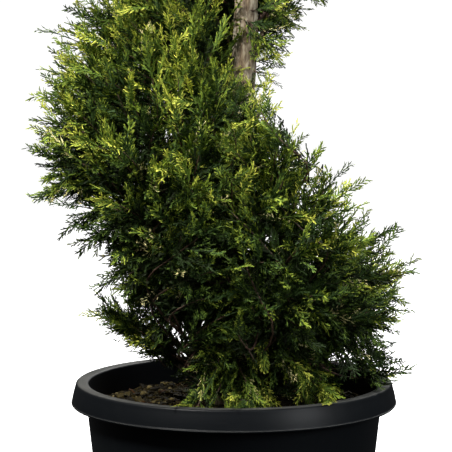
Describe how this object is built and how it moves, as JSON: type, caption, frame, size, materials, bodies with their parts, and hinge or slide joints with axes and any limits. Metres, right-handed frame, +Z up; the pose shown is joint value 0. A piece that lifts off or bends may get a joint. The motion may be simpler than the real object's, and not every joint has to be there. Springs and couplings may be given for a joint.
{
  "type": "spiral topiary",
  "caption": "Clipped evergreen shrub whose dense foliage winds up one trunk as a rising spiral band, growing in a round black nursery pot.",
  "frame": {"origin": "centre of the pot's flat underside, on the surface that it stands on", "axes": "+Z up along the pot's axis; -Y towards the side where the band climbs from lower right to upper left, +X to that side's right"},
  "size_m": [0.5131, 0.5326, 2.05],
  "materials": {
    "pot_plastic": "satin",
    "potting_mix": "matte",
    "bark": "matte",
    "foliage": "matte"
  },
  "bodies": {
    "root": {"pot": "pot_plastic", "potting_mix": "potting_mix", "trunk": "bark", "side_stem": "bark", "low_bough": "bark", "upper_bough": "bark", "foliage_band_01": "foliage", "foliage_band_02": "foliage", "foliage_band_03": "foliage", "foliage_band_04": "foliage", "foliage_band_05": "foliage", "foliage_band_06": "foliage", "foliage_band_07": "foliage", "foliage_band_08": "foliage", "foliage_band_09": "foliage", "foliage_band_10": "foliage", "foliage_band_11": "foliage", "foliage_tip": "foliage", "foliage_low_spray": "foliage"}
  },
  "joints": []
}
